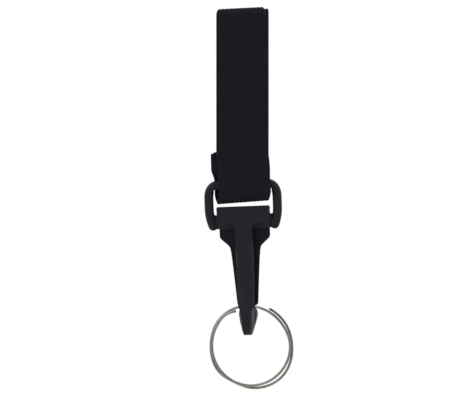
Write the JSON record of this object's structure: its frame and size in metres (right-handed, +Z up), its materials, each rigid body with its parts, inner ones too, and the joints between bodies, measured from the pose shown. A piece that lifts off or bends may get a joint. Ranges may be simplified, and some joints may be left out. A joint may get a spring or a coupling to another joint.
{
  "type": "key holder",
  "caption": "Belt-loop key holder: a folded webbing strap that carries a moulded snap hook with a flexible gate and a split ring for keys.",
  "frame": {"origin": "where a belt bears inside the top fold of the webbing, at the middle of its width", "axes": "+Z up, the strap hangs down along -Z, +X to the right across the webbing, the front faces -Y"},
  "size_m": [0.0433, 0.0142, 0.1855],
  "materials": {
    "webbing": "black ribbed polyamide webbing",
    "moulding": "black acetal moulding with a soft sheen",
    "gate": "black acetal moulding with a soft sheen",
    "wire": "nickel-plated spring wire"
  },
  "bodies": {
    "strap": {"webbing_strap": "webbing"},
    "hook": {"snap_hook": "moulding"},
    "gate": {"hook_gate": "gate"},
    "ring": {"split_ring": "wire"}
  },
  "joints": [
    {"name": "hook_swing", "type": "hinge", "parent": "strap", "child": "hook", "pos_m": [0, 0, -0.0843], "axis": [0.9919, -0.1218, 0.0373], "range_deg": [-115, 115]},
    {"name": "gate_press", "type": "hinge", "parent": "hook", "child": "gate", "pos_m": [0.00107, 0.00249, -0.10469], "axis": [-0.9919, 0.1218, -0.0373], "range_deg": [0, 4.7], "stiffness_Nm_per_rad": 1, "springref_deg": -1.72},
    {"name": "ring_swing", "type": "hinge", "parent": "hook", "child": "ring", "pos_m": [0.00196, -0.00215, -0.14326], "axis": [0.9919, -0.1218, 0.0373], "range_deg": [-120, 120]}
  ]
}
